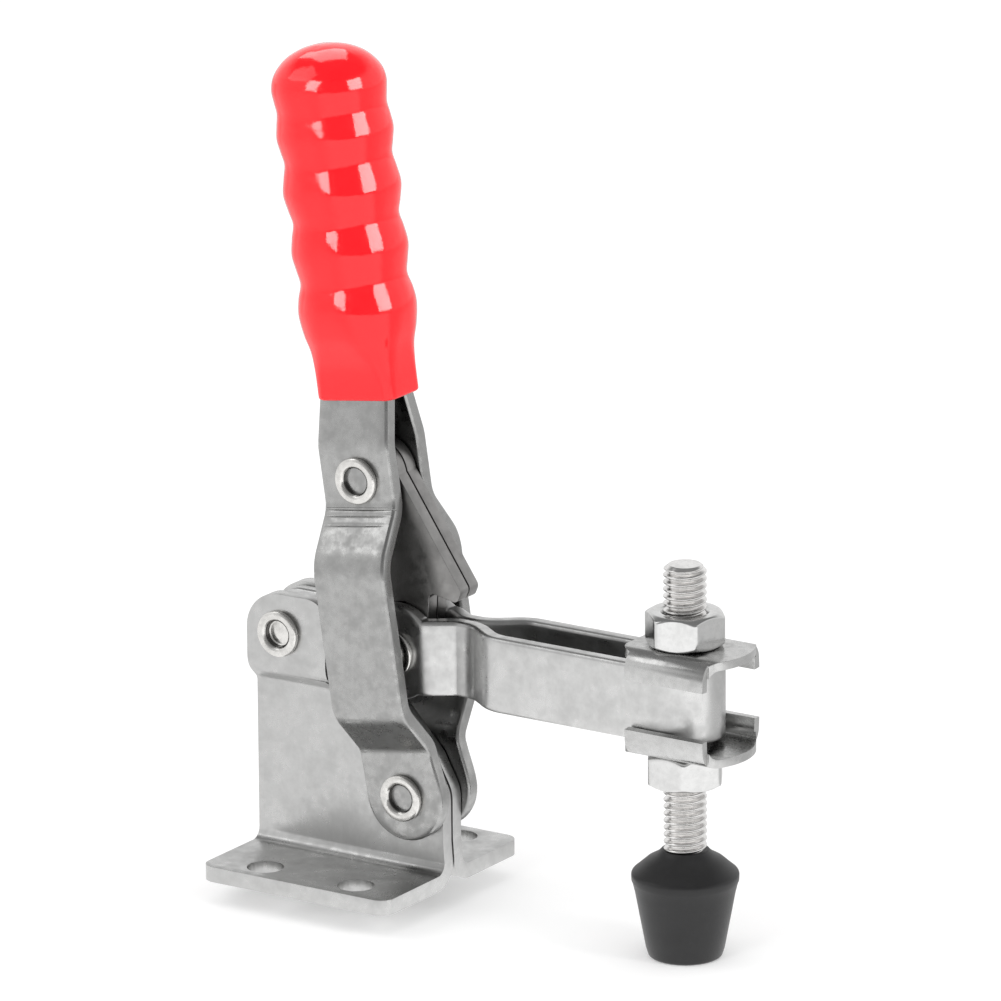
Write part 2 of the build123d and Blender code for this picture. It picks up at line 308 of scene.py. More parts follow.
@dataclass(frozen=True)
class GripPlastic:
    """Glossy dipped plastic of the grip."""

    name: str
    colour: Colour
    roughness: float
    slot: str = "grip"

    def build(self) -> bpy.types.Material:
        """Make the material.

        Returns:
            The new material.
        """
        material, nodes = fresh_material(self.name)
        where = nodes.add("ShaderNodeTexCoord").outputs["Object"]
        cloud = nodes.noise(where, 90.0, 3.0)
        swirl = nodes.noise(where, 320.0, 4.0)
        ripple = nodes.noise(where, 260.0, 2.0)
        orange = nodes.noise(where, 1500.0, 2.0)
        tone = nodes.remap(nodes.math("ADD", nodes.math("MULTIPLY", cloud, 0.7),
                                      nodes.math("MULTIPLY", swirl, 0.3)), 0.3, 0.7, 0.95, 1.05)
        colour = nodes.add("ShaderNodeVectorMath", {0: self.colour}, operation="SCALE")
        nodes.link(tone, colour.inputs["Scale"])
        rough = nodes.remap(swirl, 0.3, 0.75, self.roughness * 0.8, self.roughness * 1.5)
        height = nodes.math("MULTIPLY_ADD", orange, 0.12, ripple)
        bump = nodes.add("ShaderNodeBump", {"Strength": 1.0, "Distance": 0.12 * MM, "Height": height})
        skin = nodes.add("ShaderNodeBsdfPrincipled", {"Base Color": colour.outputs[0], "Roughness": rough,
                                                      "Normal": bump.outputs[0]})
        skin.inputs["IOR"].default_value = 1.45
        skin.inputs["Coat Weight"].default_value = 0.28
        skin.inputs["Coat Roughness"].default_value = 0.04
        nodes.add("ShaderNodeOutputMaterial", {0: skin.outputs[0]})
        return material


@dataclass(frozen=True)
class TipRubber:
    """Moulded black rubber of the tip."""

    name: str
    colour: Colour
    roughness: float
    slot: str = "rubber_tip"

    def build(self) -> bpy.types.Material:
        """Make the material.

        Returns:
            The new material.
        """
        material, nodes = fresh_material(self.name)
        where = nodes.add("ShaderNodeTexCoord").outputs["Object"]
        cloud = nodes.noise(where, 240.0, 4.0)
        grit = nodes.noise(where, 4200.0, 3.0, 0.7)
        dust = nodes.remap(nodes.noise(where, 900.0, 4.0, 0.7), 0.56, 0.76, 0.0, 1.0)
        tone = nodes.remap(cloud, 0.3, 0.7, 0.85, 1.15)
        tone = nodes.math("MULTIPLY_ADD", dust, 0.35, tone)
        colour = nodes.add("ShaderNodeVectorMath", {0: self.colour}, operation="SCALE")
        nodes.link(tone, colour.inputs["Scale"])
        rough = nodes.math("MULTIPLY_ADD", grit, 0.12, self.roughness - 0.06)
        bump = nodes.add("ShaderNodeBump", {"Strength": 1.0, "Distance": 0.02 * MM, "Height": grit})
        skin = nodes.add("ShaderNodeBsdfPrincipled", {"Base Color": colour.outputs[0], "Roughness": rough,
                                                      "Normal": bump.outputs[0]})
        skin.inputs["Specular IOR Level"].default_value = 0.38
        nodes.add("ShaderNodeOutputMaterial", {0: skin.outputs[0]})
        return material


@dataclass
class Finishes:
    """All finishes of the clamp, made once."""

    made: dict[str, bpy.types.Material] = field(default_factory=dict)
    base: SteelFinish = SteelFinish("base_satin_sheet", (0.505, 0.505, 0.50), 0.32, 0.07, 0.09, 1.0, 0.03,
                                    slot="base_sheet")
    arm: SteelFinish = SteelFinish("arm_satin_sheet", (0.55, 0.55, 0.545), 0.33, 0.08, 0.09, 1.0, 0.03, 1.0,
                                   slot="arm_sheet")
    handle: SteelFinish = SteelFinish("handle_pressed_sheet", (0.385, 0.385, 0.38), 0.30, 0.12, 0.14, 1.1, 0.05,
                                      1.0, slot="handle_sheet")
    # painted shade: the link plates' colour is set darker than the other sheets for the shade that falls on
    # them between the handle plates
    link: SteelFinish = SteelFinish("link_cut_sheet", (0.29, 0.285, 0.28), 0.36, 0.07, 0.08, 1.3, 0.02,
                                    slot="link_sheet")
    rivet: SteelFinish = SteelFinish("rolled_rivet_steel", (0.68, 0.67, 0.65), 0.24, 0.12, 0.12, 2.2, 0.05,
                                     slot="rivet")
    bush: SteelFinish = SteelFinish("turned_bush_steel", (0.5, 0.5, 0.49), 0.3, 0.06, 0.1, 2.0, 0.02,
                                    slot="bush")
    washer: SteelFinish = SteelFinish("pressed_washer_steel", (0.50, 0.50, 0.495), 0.27, 0.08, 0.08, 1.6,
                                      0.04, slot="washer")
    nut: SteelFinish = SteelFinish("bright_nut_steel", (0.60, 0.60, 0.595), 0.17, 0.06, 0.06, 2.0, 0.03,
                                   slot="nut")
    thread: SteelFinish = SteelFinish("rolled_thread_steel", (0.72, 0.71, 0.70), 0.2, 0.08, 0.08, 2.6, 0.02,
                                      slot="spindle")
    grip: GripPlastic = GripPlastic("red_grip_plastic", (0.98, 0.004, 0.011), 0.10)
    rubber: TipRubber = TipRubber("black_tip_rubber", (0.015, 0.015, 0.0155), 0.44)

    def get(self, finish: object) -> bpy.types.Material:
        """Material of a finish, made on its first use.

        Args:
            finish: one of this class's finishes.

        Returns:
            The material.
        """
        if finish.name not in self.made:
            self.made[finish.name] = finish.build()
        return self.made[finish.name]


# Mesh building


def mesh_object(name: str, points: Iterable[Point], faces: Iterable[Sequence[int]],
                soil: Sequence[float] = ()) -> bpy.types.Object:
    """Make a mesh object from points in millimetres, with outward normals.

    Args:
        name: name of the object.
        points: vertices in millimetres.
        faces: faces as vertex numbers.
        soil: painted shade, how dark each point is, or nothing.

    Returns:
        The linked object.
    """
    mesh = bpy.data.meshes.new(name)
    mesh.from_pydata([tuple(c * MM for c in p) for p in points], [], [tuple(f) for f in faces])
    shape = bmesh.new()
    shape.from_mesh(mesh)
    # store the painted shade value on each point
    if soil:
        layer = shape.verts.layers.float.new("soil")
        for vertex, value in zip(shape.verts, soil):
            vertex[layer] = value
    bmesh.ops.remove_doubles(shape, verts=shape.verts, dist=1e-7)
    bmesh.ops.recalc_face_normals(shape, faces=shape.faces)
    shape.to_mesh(mesh)
    shape.free()
    for polygon in mesh.polygons:
        polygon.use_smooth = True
    thing = bpy.data.objects.new(name, mesh)
    bpy.context.scene.collection.objects.link(thing)
    return thing


def lathe(name: str, profile: Sequence[tuple[float, float]], steps: int,
          place: Callable[[float, float, float], Point]) -> bpy.types.Object:
    """Turn a profile that starts and ends on its axis.

    Args:
        name: name of the object.
        profile: (radius, height) pairs, the first and last with radius zero.
        steps: divisions of the turn.
        place: function from (radius, turn, height) to a point in millimetres.

    Returns:
        The turned object.
    """
    points = [place(0.0, 0.0, profile[0][1]), place(0.0, 0.0, profile[-1][1])]
    faces: list[tuple[int, ...]] = []
    rings = profile[1:-1]
    for radius, height in rings:
        points += [place(radius, 2 * math.pi * k / steps, height) for k in range(steps)]
    for k in range(steps):
        after = (k + 1) % steps
        faces.append((0, 2 + k, 2 + after))
        last = 2 + (len(rings) - 1) * steps
        faces.append((1, last + after, last + k))
        for row in range(len(rings) - 1):
            a, b = 2 + row * steps, 2 + (row + 1) * steps
            faces.append((a + k, b + k, b + after, a + after))
    return mesh_object(name, points, faces)


def arc(centre: tuple[float, float], radius: float, start: float, end: float,
        steps: int) -> list[tuple[float, float]]:
    """Points of an arc in a profile.

    Args:
        centre: the arc's centre.
        radius: its radius.
        start: first angle in degrees.
        end: last angle in degrees.
        steps: divisions.

    Returns:
        The points, ends included.
    """
    turns = [math.radians(start + (end - start) * k / steps) for k in range(steps + 1)]
    return [(centre[0] + radius * math.cos(t), centre[1] + radius * math.sin(t)) for t in turns]


def spline(rows: Sequence[Row], steps: int) -> list[Row]:
    """Smooth rows of numbers through given rows, by Catmull-Rom pieces.

    Args:
        rows: rows of equal length.
        steps: divisions between two rows.

    Returns:
        The finer rows.
    """
    out: list[Row] = []
    for k in range(len(rows) - 1):
        quad = [rows[max(k - 1, 0)], rows[k], rows[k + 1], rows[min(k + 2, len(rows) - 1)]]
        for step in range(steps):
            t = step / steps
            out.append(tuple(
                0.5 * (2 * b + (c - a) * t + (2 * a - 5 * b + 4 * c - d) * t * t
                       + (3 * b - a - 3 * c + d) * t ** 3)
                for a, b, c, d in zip(*quad)))
    out.append(tuple(rows[-1]))
    return out


def dress(thing: bpy.types.Object, material: bpy.types.Material, body: Body, slot: str,
          replaced: Sequence[str] = ()) -> None:
    """Give a finished piece its material, body and replaced nodes.

    Args:
        thing: the piece.
        material: its material.
        body: the body that it moves with.
        slot: the record's material slot; not used.
        replaced: CAD nodes that it stands for.
    """
    if not thing.data.materials:
        thing.data.materials.append(material)
    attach(thing, body.value)
    if replaced:
        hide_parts(*replaced)
    LOG.info("%s: %d faces, rides on %s", thing.name, len(thing.data.polygons), body.value)


@dataclass
class SheetPart:
    """A bent sheet piece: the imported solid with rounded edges."""

    node: str
    body: Body
    finish: SteelFinish
    edge: float = 0.32
    segments: int = 3
    seam: float = 0.0
    reshape: Callable[[Vector], None] = lambda spot: None

    def side(self) -> float:
        """Sign of the side of the middle plane that the piece lies on."""
        low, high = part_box(self.node)
        return low.y + high.y

    def build(self, finishes: Finishes) -> bpy.types.Object:
        """Copy the solid, clean its mesh and round its edges.

        Args:
            finishes: the clamp's finishes.

        Returns:
            The dressed piece.
        """
        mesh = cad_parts[self.node].data.copy()
        mesh.name = self.node + "_rounded"
        mesh.materials.clear()
        shape = bmesh.new()
        shape.from_mesh(mesh)
        bmesh.ops.remove_doubles(shape, verts=shape.verts, dist=2e-6)
        bmesh.ops.dissolve_limit(shape, angle_limit=math.radians(1.0), verts=shape.verts, edges=shape.edges)
        for vertex in shape.verts:
            if abs(vertex.co.y) < self.seam * MM:
                vertex.co.y = math.copysign(self.seam * MM, self.side())
            self.reshape(vertex.co)
        shape.to_mesh(mesh)
        shape.free()
        mesh.shade_smooth()
        thing = bpy.data.objects.new(mesh.name, mesh)
        bpy.context.scene.collection.objects.link(thing)
        bevel = thing.modifiers.new("edge_round", "BEVEL")
        bevel.width = self.edge * MM
        bevel.segments = self.segments
        bevel.limit_method = "ANGLE"
        bevel.angle_limit = math.radians(40)
        bevel.harden_normals = True
        bevel.miter_outer = "MITER_ARC"
        dress(thing, finishes.get(self.finish), self.body, self.finish.slot, (self.node,))
        return thing


@dataclass(frozen=True)
class Station:
    """One cross row of a bent sheet: middle point, normal and place along the outline."""

    spot: tuple[float, float]
    normal: tuple[float, float]
    along: float


def bent_line(points: Sequence[tuple[float, float]], radii: Sequence[float], axis: int,
              extra: Sequence[float] = (), spacing: float = 1.2) -> list[Station]:
    """Middle line of a bent sheet, with rounded corners and stations along it.

    Args:
        points: corners of the line.
        radii: bend radius of each inner corner.
        axis: coordinate that tells the place along the outline, 0 or 1.
        extra: places that need a station of their own.
        spacing: distance between stations on straight runs.

    Returns:
        The stations in order.
    """
    path = [Vector(points[0])]
    for before, corner, after, radius in zip(points, points[1:], points[2:], radii):
        a, c, b = Vector(before), Vector(corner), Vector(after)
        back, ahead = (a - c).normalized(), (b - c).normalized()
        angle = back.angle(ahead)
        reach = radius / math.tan(angle / 2)
        centre = c + (back + ahead).normalized() * radius / math.sin(angle / 2)
        start, end = c + back * reach - centre, c + ahead * reach - centre
        turn = start.angle_signed(end)
        count = max(int(abs(math.degrees(turn)) / 1.5), 4)
        for k in range(count + 1):
            t = -turn * k / count
            path.append(centre + Vector((start.x * math.cos(t) - start.y * math.sin(t),
                                         start.x * math.sin(t) + start.y * math.cos(t))))
    path.append(Vector(points[-1]))
    fine = [path[0]]
    for a, b in zip(path, path[1:]):
        runs = max(int((b - a).length / spacing), 1)
        cuts = {k / runs for k in range(1, runs + 1)}
        cuts |= {(e - a[axis]) / (b[axis] - a[axis]) for e in extra
                 if abs(b[axis] - a[axis]) > 1e-6 and 0.0 < (e - a[axis]) / (b[axis] - a[axis]) < 1.0}
        fine += [spot for spot in (a.lerp(b, t) for t in sorted(cuts)) if (spot - fine[-1]).length > 0.03]
    stations = []
    for k, spot in enumerate(fine):
        before, after = spot - fine[max(k - 1, 0)], fine[min(k + 1, len(fine) - 1)] - spot
        ahead = (before.normalized() + after.normalized()).normalized()
        stations.append(Station((spot.x, spot.y), (-ahead.y, ahead.x), spot[axis]))
    return stations


@dataclass(frozen=True)
class BentSheet:
    """Sheet along bent stations, its outline rounded on both faces."""

    stations: Sequence[Station]
    thickness: float
    rounding: float
    span: Callable[[float], tuple[float, float]]
    inside: Callable[[float, float], float]
    place: Callable[[float, float, float], Point]
    dent: Callable[[float, float], float] = lambda along, across: 0.0
    columns: int = 7
    soil: Callable[[float], float] = lambda along: 0.0

    def half(self, depth: float) -> float:
        """Half thickness of the sheet near its rounded outline.

        Args:
            depth: distance inside the outline.

        Returns:
            Half of the thickness there.
        """
        rest = max(self.rounding - max(depth, 0.0), 0.0)
        return self.thickness / 2 - self.rounding + math.sqrt(max(self.rounding ** 2 - rest ** 2, 0.0))

    def across(self, low: float, high: float) -> list[float]:
        """Places across one row, close together at the rounded edges.

        Args:
            low: first edge of the row.
            high: last edge of the row.

        Returns:
            The places in order.
        """
        reach = min(self.rounding, (high - low) / 2.2)
        near = [low + reach * f for f in (0.0, 0.03, 0.12, 0.3, 0.6, 1.0)]
        far = [high - reach * f for f in (1.0, 0.6, 0.3, 0.12, 0.03, 0.0)]
        middle = [near[-1] + (far[0] - near[-1]) * k / self.columns for k in range(1, self.columns)]
        return near + middle + far

    def build(self, name: str) -> bpy.types.Object:
        """Make the sheet's closed mesh.

        Args:
            name: name of the object.

        Returns:
            The object.
        """
        points: list[Point] = []
        soil: list[float] = []
        width = 0
        for station in self.stations:
            low, high = self.span(station.along)
            row = self.across(low, high)
            width = len(row)
            for side in (1.0, -1.0):
                for v in row:
                    depth = self.inside(station.along, v)
                    half = self.half(depth)
                    # painted shade on the inner face, fading out towards the rounded outline
                    soil.append(self.soil(station.along) * max(min(depth / self.rounding, 1.0), 0.0)
                                if side < 0 else 0.0)
                    if side > 0:
                        half -= self.dent(station.along, v)
                    a = station.spot[0] + side * half * station.normal[0]
                    b = station.spot[1] + side * half * station.normal[1]
                    points.append(self.place(a, b, v))
        ring = 2 * width
        loop = list(range(width)) + list(range(ring - 1, width - 1, -1))
        faces: list[tuple[int, ...]] = []
        for i in range(len(self.stations) - 1):
            a, b = i * ring, (i + 1) * ring
            faces += [(a + loop[j], a + loop[(j + 1) % ring], b + loop[(j + 1) % ring], b + loop[j])
                      for j in range(ring)]
        last = (len(self.stations) - 1) * ring
        for j in range(width - 1):
            faces.append((j, j + 1, width + j + 1, width + j))
            faces.append((last + j, last + width + j, last + width + j + 1, last + j + 1))
        return mesh_object(name, points, faces, soil=soil)


# Geometry Nodes building


def geometry_tree(name: str,
                  inputs: Sequence[tuple[str, str, object]]) -> tuple[Nodes, dict, bpy.types.NodeSocket]:
    """Start a Geometry Nodes tree with named inputs.

    Args:
        name: name of the tree.
        inputs: name, socket type and default of each input.

    Returns:
        The helper, the input sockets by name, and the output geometry socket.
    """
    tree = bpy.data.node_groups.new(name, "GeometryNodeTree")
    tree.interface.new_socket("Geometry", in_out="INPUT", socket_type="NodeSocketGeometry")
    for label, kind, default in inputs:
        socket = tree.interface.new_socket(label, in_out="INPUT", socket_type=kind)
        if default is not None:
            socket.default_value = default
    tree.interface.new_socket("Geometry", in_out="OUTPUT", socket_type="NodeSocketGeometry")
    start = tree.nodes.new("NodeGroupInput")
    end = tree.nodes.new("NodeGroupOutput")
    return Nodes(tree), {s.name: s for s in start.outputs if s.name}, end.inputs[0]


def close_tree(nodes: Nodes, shape: bpy.types.NodeSocket, material: bpy.types.NodeSocket,
               out: bpy.types.NodeSocket) -> bpy.types.NodeTree:
    """End a Geometry Nodes tree with real instances and a material.

    Args:
        nodes: helper on the tree.
        shape: geometry to end with.
        material: the material's input.
        out: output socket of the tree.

    Returns:
        The tree.
    """
    real = nodes.add("GeometryNodeRealizeInstances", {0: shape})
    painted = nodes.add("GeometryNodeSetMaterial", {"Geometry": real.outputs[0], "Material": material})
    nodes.link(painted.outputs[0], out)
    return nodes.tree


def grown(name: str, seed: bpy.types.Object, tree: bpy.types.NodeTree,
          values: dict[str, object]) -> bpy.types.Object:
    """Run a Geometry Nodes tree on a seed object and keep the result as a plain mesh.

    Args:
        name: name of the result.
        seed: object that the modifier sits on; it is removed.
        tree: the tree.
        values: inputs by name.

    Returns:
        The finished object.
    """
    modifier = seed.modifiers.new("grow", "NODES")
    modifier.node_group = tree
    keys = {item.name: item.identifier for item in tree.interface.items_tree
            if getattr(item, "in_out", "") == "INPUT"}
    for label, value in values.items():
        modifier[keys[label]] = value
    seed.update_tag()
    graph = bpy.context.evaluated_depsgraph_get()
    graph.update()
    mesh = bpy.data.meshes.new_from_object(seed.evaluated_get(graph))
    mesh.name = name
    seed.modifiers.remove(modifier)
    bpy.data.objects.remove(seed)
    thing = bpy.data.objects.new(name, mesh)
    bpy.context.scene.collection.objects.link(thing)
    return thing


@dataclass(frozen=True)
class Rivet:
    """One hollow rivet of the clamp."""

    node: str
    body: Body
    shank: float
    mouth: float = 2.05
    depth: float = 1.25


@dataclass
class RivetRow:
    """Hollow rivets with rolled ends, each on a pair of seats."""

    ring: float = 3.3
    height: float = 0.9
    # painted shade on the recess walls
    recess_shade: float = 0.8
    steps: int = 72

    def half_profile(self, rivet: Rivet, seat: float) -> list[tuple[float, float]]:
        """Profile of half a rivet, from the recess floor over the rolled ring to the middle plane.

        Args:
            rivet: the rivet.
            seat: distance of its seat from the middle plane.

        Returns:
            (radius, height) pairs, heights from the middle plane.
        """
        top = seat + self.height
        floor = top - rivet.depth
        bore = rivet.mouth - 0.18
        roll = (self.ring - rivet.mouth) / 2
        middle = rivet.mouth + roll
        inner = [(0.0, floor + 0.15), (bore * 0.3, floor + 0.14), (bore * 0.6, floor + 0.1),
                 (bore * 0.86, floor + 0.02), (bore - 0.02, floor + 0.07), (bore, floor + 0.18),
                 (bore, top - 0.5), (bore + 0.03, top - 0.34)]
        crown = [(middle + roll * math.cos(t), top - 0.30 + 0.30 * math.sin(t))
                 for t in (math.radians(d) for d in range(172, -9, -9))]
        under = [(self.ring - 0.02, seat + 0.24), (self.ring - 0.12, seat + 0.04), (self.ring - 0.3, seat)]
        return inner + crown + under + [(rivet.shank, seat), (rivet.shank, 0.0), (0.0, 0.0)]

    def soil(self, whole: bpy.types.Object, rivet: Rivet, pivot: Vector, seat: float) -> None:
        """Store painted shade on the points of the recess walls, darkening them.

        Args:
            whole: the finished rivet.
            rivet: its sizes.
            pivot: its middle in metres.
            seat: distance of its seat from the middle plane.
        """
        values = whole.data.attributes.new("soil", "FLOAT", "POINT")
        floor = seat + self.height - rivet.depth + 0.1
        for point in whole.data.vertices:
            away = (point.co - pivot) / MM
            wall = abs(math.hypot(away.x, away.z) - rivet.mouth + 0.17) < 0.06
            values.data[point.index].value = self.recess_shade if wall and abs(away.y) > floor else 0.0

    def tree(self) -> bpy.types.NodeTree:
        """Tree that sets the half rivet on both seats of a pivot.

        Returns:
            The Geometry Nodes tree.
        """
        nodes, ins, out = geometry_tree("rivet_on_seats", (
            ("Pivot", "NodeSocketVector", (0.0, 0.0, 0.0)), ("Turn", "NodeSocketFloat", 0.0),
            ("Material", "NodeSocketMaterial", None)))
        ends = []
        for side in (-1.0, 1.0):
            spin = nodes.add("ShaderNodeCombineXYZ", {0: side * -math.pi / 2, 1: ins["Turn"]}).outputs[0]
            head = nodes.add("GeometryNodeTransform", {
                "Geometry": ins["Geometry"], "Translation": ins["Pivot"], "Rotation": spin})
            ends.append(head.outputs[0])
        join = nodes.add("GeometryNodeJoinGeometry")
        for end in ends:
            nodes.link(end, join.inputs[0])
        return close_tree(nodes, join.outputs[0], ins["Material"], out)

    def build(self, finishes: Finishes, rivets: Sequence[Rivet]) -> None:
        """Set a rivet on each pivot.

        Args:
            finishes: the clamp's finishes.
            rivets: the rivets.
        """
        tree = self.tree()
        for count, rivet in enumerate(rivets):
            low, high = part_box(rivet.node)
            seat = (high.y - low.y) / 2 / MM - self.height
            seed = lathe(rivet.node + "_half", self.half_profile(rivet, seat), self.steps,
                         lambda r, t, h: (r * math.cos(t), r * math.sin(t), h))
            whole = grown(rivet.node + "_rolled", seed, tree, {
                "Pivot": tuple((low + high) / 2), "Turn": 0.7 * count,
                "Material": finishes.get(finishes.rivet)})
            self.soil(whole, rivet, (low + high) / 2, seat)
            dress(whole, finishes.get(finishes.rivet), rivet.body, "rivet", (rivet.node,))


@dataclass
class Screw:
    """Clamping screw with a rolled helical thread."""

    crest: float = 2.97
    root: float = 2.32
    pitch: float = 1.0
    chamfer: float = 0.75
    around: int = 72
    per_turn: int = 12

    def tree(self) -> bpy.types.NodeTree:
        """Tree that forms a grid into the threaded rod.

        Returns:
            The Geometry Nodes tree.
        """
        nodes, ins, out = geometry_tree("rolled_thread", (
            ("Axis", "NodeSocketVector", (0.0, 0.0, 0.0)), ("Length", "NodeSocketFloat", 0.05),
            ("Crest", "NodeSocketFloat", 0.003), ("Root", "NodeSocketFloat", 0.0024),
            ("Pitch", "NodeSocketFloat", 0.001), ("Chamfer", "NodeSocketFloat", 0.0006),
            ("Around", "NodeSocketInt", 48), ("Rows", "NodeSocketInt", 400),
            ("Material", "NodeSocketMaterial", None)))
        grid = nodes.add("GeometryNodeMeshGrid", {"Size X": 1.0, "Size Y": 1.0, "Vertices X": ins["Around"],
                                                  "Vertices Y": ins["Rows"]})
        place = nodes.add("ShaderNodeSeparateXYZ", {0: nodes.add("GeometryNodeInputPosition").outputs[0]})
        turn = nodes.math("ADD", place.outputs[0], 0.5)
        rise = nodes.math("MULTIPLY", nodes.math("ADD", place.outputs[1], 0.5), ins["Length"])
        phase = nodes.math("FRACT", nodes.math("SUBTRACT", nodes.math("DIVIDE", rise, ins["Pitch"]), turn))
        slope = nodes.math("ABSOLUTE", nodes.math("SUBTRACT", nodes.math("MULTIPLY", phase, 2.0), 1.0))
        flank = nodes.remap(slope, 0.12, 0.86, 1.0, 0.0)
        swell = nodes.math("MULTIPLY", flank, nodes.math("SUBTRACT", ins["Crest"], ins["Root"]))
        radius = nodes.math("ADD", ins["Root"], swell)
        near = nodes.math("MINIMUM", rise, nodes.math("SUBTRACT", ins["Length"], rise))
        face = nodes.math("ADD", nodes.math("SUBTRACT", ins["Crest"], ins["Chamfer"]),
                          nodes.math("MULTIPLY", near, 1.15))
        radius = nodes.math("MINIMUM", radius, face)
        angle = nodes.math("MULTIPLY", turn, 2 * math.pi)
        ring = nodes.add("ShaderNodeCombineXYZ", {
            0: nodes.math("MULTIPLY", radius, nodes.math("COSINE", angle)),
            1: nodes.math("MULTIPLY", radius, nodes.math("SINE", angle)), 2: rise})
        spot = nodes.add("ShaderNodeVectorMath", {0: ring.outputs[0], 1: ins["Axis"]}, operation="ADD")
        bent = nodes.add("GeometryNodeSetPosition", {
            "Geometry": grid.outputs["Mesh"], "Position": spot.outputs[0]})
        smooth = nodes.add("GeometryNodeSetShadeSmooth", {"Geometry": bent.outputs[0], "Shade Smooth": True})
        merged = nodes.add("GeometryNodeMergeByDistance", {"Geometry": smooth.outputs[0], "Distance": 1e-6})
        return close_tree(nodes, merged.outputs[0], ins["Material"], out)

    def build(self, finishes: Finishes) -> None:
        """Build the threaded screw and close its ends.

        Args:
            finishes: the clamp's finishes.
        """
        low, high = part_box("spindle")
        length = high.z - low.z
        rows = int(length / (self.pitch * MM) * self.per_turn) + 1
        seed = mesh_object("screw_seed", [(0, 0, 0), (1, 0, 0), (0, 1, 0)], [(0, 1, 2)])
        screw = grown("clamping_screw", seed, self.tree(), {
            "Axis": ((low.x + high.x) / 2, 0.0, low.z), "Length": length, "Crest": self.crest * MM,
            "Root": self.root * MM, "Pitch": self.pitch * MM, "Chamfer": self.chamfer * MM,
            "Around": self.around + 1, "Rows": rows, "Material": finishes.get(finishes.thread)})
        shape = bmesh.new()
        shape.from_mesh(screw.data)
        caps = bmesh.ops.holes_fill(shape, edges=[e for e in shape.edges if e.is_boundary], sides=0)
        for cap in caps["faces"]:
            cap.smooth = False
        bmesh.ops.recalc_face_normals(shape, faces=shape.faces)
        shape.to_mesh(screw.data)
        shape.free()
        dress(screw, finishes.get(finishes.thread), Body.SPINDLE, "spindle", ("spindle",))


@dataclass
class HexNut:
    """Hexagon nut with chamfered corners on both faces."""

    flats: float = 10.0
    height: float = 4.8
    bore: float = 3.03
    washer_face: float = 4.72
    round_power: float = 32.0
    steps: int = 144

    def side(self, turn: float) -> float:
        """Distance from the axis to the rounded hexagon in a direction.

        Args:
            turn: direction in radians from a corner.

        Returns:
            The distance in millimetres.
        """
        total = sum(max(math.cos(turn - math.pi / 6 - k * math.pi / 3), 0.0) ** self.round_power
                    for k in range(6))
        return self.flats / 2 / total ** (1 / self.round_power)

    def drop(self, radius: float) -> float:
        """Depth of the chamfer cone below the nut's face."""
        return max(radius - self.washer_face, 0.0) * 0.62

    def build(self, finishes: Finishes, node: str, body: Body, turn: float) -> None:
        """Build one nut in its place.

        Args:
            finishes: the clamp's finishes.
            node: CAD node that it replaces.
            body: the body that it moves with.
            turn: angle of a corner in degrees.
        """
        low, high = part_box(node)
        cx, bottom = (low.x + high.x) / 2 / MM, low.z / MM
        half = self.height / 2
        points: list[Point] = []
        count = 0
        for k in range(self.steps):
            a = 2 * math.pi * k / self.steps
            reach = self.side(a)
            ring = [(self.bore, 0.0), (self.bore, half - 0.5), (self.bore + 0.42, half - 0.03),
                    (self.bore + 0.55, half), (self.washer_face - 0.12, half)]
            ring += [(self.washer_face + (reach - self.washer_face) * f,
                      half - self.drop(self.washer_face + (reach - self.washer_face) * f))
                     for f in (0.1, 0.4, 0.7, 0.92)]
            edge = half - self.drop(reach)
            ring += [(reach, edge - 0.1), (reach, edge - 0.4), (reach, 0.0)]
            ring += [(r, -h) for r, h in reversed(ring[1:-1])]
            count = len(ring)
            spin = a + math.radians(turn)
            points += [(cx + r * math.cos(spin), r * math.sin(spin), bottom + half + h) for r, h in ring]
        faces = [(k * count + j, ((k + 1) % self.steps) * count + j,
                  ((k + 1) % self.steps) * count + (j + 1) % count, k * count + (j + 1) % count)
                 for k in range(self.steps) for j in range(count)]
        nut = mesh_object(node + "_body", points, faces)
        dress(nut, finishes.get(finishes.nut), body, "nut", (node,))


